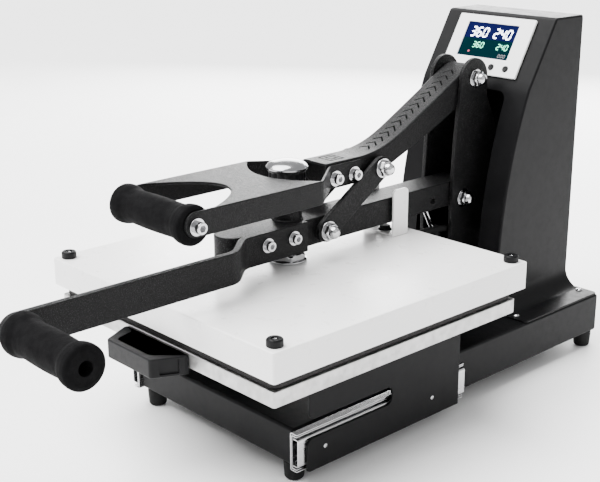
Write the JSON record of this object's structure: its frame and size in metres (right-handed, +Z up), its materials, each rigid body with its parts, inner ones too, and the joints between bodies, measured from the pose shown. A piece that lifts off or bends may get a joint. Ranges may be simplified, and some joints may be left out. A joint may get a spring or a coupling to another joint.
{
  "type": "heat press",
  "caption": "Tabletop clamshell heat press: a heated platen on a toggle lever and gas spring closes on a lower platen that slides out like a drawer.",
  "frame": {"origin": "on the table, under the middle of the press's box", "axes": "+Z up, the operator stands on the -Y side, +X to the operator's right"},
  "size_m": [0.4, 0.8652, 0.455],
  "materials": {
    "black_coat": "satin black powder coat with a fine texture",
    "arm_coat": "coarse speckled black powder coat",
    "white_coat": "smooth white enamel",
    "aluminium": "bare cast and machined aluminium plate",
    "silicone": "grey silicone sponge",
    "insulation": "fibre insulation blanket",
    "foam": "matt black foam rubber",
    "black_plastic": "moulded black plastic",
    "chrome": "polished chrome plate",
    "zinc": "bright zinc plate",
    "rubber": "black rubber",
    "panel_white": "white front sheet",
    "screen": "dark blue display window",
    "circuit": "green circuit board"
  },
  "bodies": {
    "root": {"base_pan": "black_coat", "foot_front_left": "rubber", "foot_front_right": "rubber", "foot_rear_left": "rubber", "foot_rear_right": "rubber", "tower_shell": "black_coat", "tower_back_cover": "black_coat", "power_inlet": "black_plastic", "frame_plate_left": "arm_coat", "frame_plate_right": "arm_coat", "slide_outer_left": "zinc", "slide_outer_right": "zinc", "lever_pivot_bolt": "chrome", "arm_pivot_bolt": "chrome", "gas_spring_bracket": "zinc", "heater_sleeve": "black_plastic", "panel_bezel": "panel_white", "panel_screen": "screen", "controller_board": "circuit"},
    "arm": {"lower_arm": "arm_coat", "lower_handle_bar": "arm_coat", "lower_grip": "foam", "lower_grip_bolt": "chrome", "gas_spring_pin": "zinc"},
    "lever": {"lever_arm": "arm_coat", "yoke": "arm_coat", "upper_grip": "foam", "upper_grip_rod": "chrome", "toggle_pin_upper": "chrome"},
    "links": {"link_left": "arm_coat", "link_right": "arm_coat", "link_nut_left": "chrome", "link_nut_right": "chrome", "toggle_bolt_lower": "chrome"},
    "spring_cylinder": {"gas_spring_cylinder": "black_plastic"},
    "spring_rod": {"gas_spring_rod": "chrome"},
    "upper_platen": {"platen_cover": "white_coat", "heat_platen": "aluminium", "insulation_blanket": "insulation", "screw_collar": "chrome", "guide_bracket": "white_coat", "sensor_gland": "rubber", "cover_nut_front_left": "black_plastic", "cover_nut_front_right": "black_plastic", "cover_nut_rear_left": "black_plastic", "cover_nut_rear_right": "black_plastic"},
    "pressure_screw": {"pressure_screw": "zinc", "pressure_knob": "black_plastic"},
    "carriage": {"lower_platen": "aluminium", "silicone_pad": "silicone", "drawer_handle": "black_plastic", "carriage_panel_left": "black_coat", "carriage_panel_right": "black_coat", "slide_inner_left": "zinc", "slide_inner_right": "zinc"},
    "slide_left": {"slide_middle_left": "zinc"},
    "slide_right": {"slide_middle_right": "zinc"},
    "set_button": {"set_button": "black_plastic"},
    "mode_button": {"mode_button": "black_plastic"},
    "power_switch": {"power_switch": "black_plastic"}
  },
  "joints": [
    {"name": "arm_lift", "type": "hinge", "parent": "root", "child": "arm", "pos_m": [0, 0.2666, 0.223], "axis": [-1, 0, 0], "range_deg": [0, 20]},
    {"name": "lever_swing", "type": "hinge", "parent": "root", "child": "lever", "pos_m": [0, 0.2826, 0.38], "axis": [-1, 0, 0], "range_deg": [0, 38.77]},
    {"name": "link_swing", "type": "hinge", "parent": "arm", "child": "links", "pos_m": [0, 0.0146, 0.2315], "axis": [1, 0, 0], "range_deg": [0, 51.12]},
    {"name": "gas_spring_tilt", "type": "hinge", "parent": "root", "child": "spring_cylinder", "pos_m": [0, 0.2846, 0.099], "axis": [-1, 0, 0], "range_deg": [0, 4.48]},
    {"name": "gas_spring_stroke", "type": "slide", "parent": "spring_cylinder", "child": "spring_rod", "axis": [0, -0.4827, 0.8758], "range_m": [0, 0.01397]},
    {"name": "platen_height", "type": "slide", "parent": "arm", "child": "upper_platen", "axis": [0, 0, 1], "range_m": [0, 0.005]},
    {"name": "screw_turn", "type": "hinge", "parent": "upper_platen", "child": "pressure_screw", "pos_m": [0, -0.0214, 0.25], "axis": [0, 0, 1], "range_deg": [0, 720.1]},
    {"name": "drawer_slide", "type": "slide", "parent": "root", "child": "carriage", "axis": [0, -1, 0], "range_m": [0, 0.24]},
    {"name": "slide_left_stroke", "type": "slide", "parent": "root", "child": "slide_left", "axis": [0, -1, 0], "range_m": [0, 0.1201]},
    {"name": "slide_right_stroke", "type": "slide", "parent": "root", "child": "slide_right", "axis": [0, -1, 0], "range_m": [0, 0.1201]},
    {"name": "set_button_press", "type": "slide", "parent": "root", "child": "set_button", "axis": [0, 0.8601, -0.5101], "range_m": [0, 0.0011], "stiffness_N_per_m": 400, "springref_m": -0.0005},
    {"name": "mode_button_press", "type": "slide", "parent": "root", "child": "mode_button", "axis": [0, 0.8601, -0.5101], "range_m": [0, 0.0011], "stiffness_N_per_m": 400, "springref_m": -0.0005},
    {"name": "switch_rock", "type": "hinge", "parent": "root", "child": "power_switch", "pos_m": [0.05, 0.4259, 0.16], "axis": [1, 0, 0], "range_deg": [0, 14]}
  ],
  "couplings": [
    {"joint": "lever_swing", "follows": "arm_lift", "ratio": 1.9332},
    {"joint": "link_swing", "follows": "arm_lift", "ratio": 2.5512},
    {"joint": "gas_spring_tilt", "follows": "arm_lift", "ratio": 0.21915},
    {"joint": "gas_spring_stroke", "follows": "arm_lift", "m_per_rad": 0.039743},
    {"joint": "screw_turn", "follows": "platen_height", "rad_per_m": 2513.3},
    {"joint": "slide_left_stroke", "follows": "drawer_slide", "ratio": 0.5},
    {"joint": "slide_right_stroke", "follows": "drawer_slide", "ratio": 0.5}
  ]
}
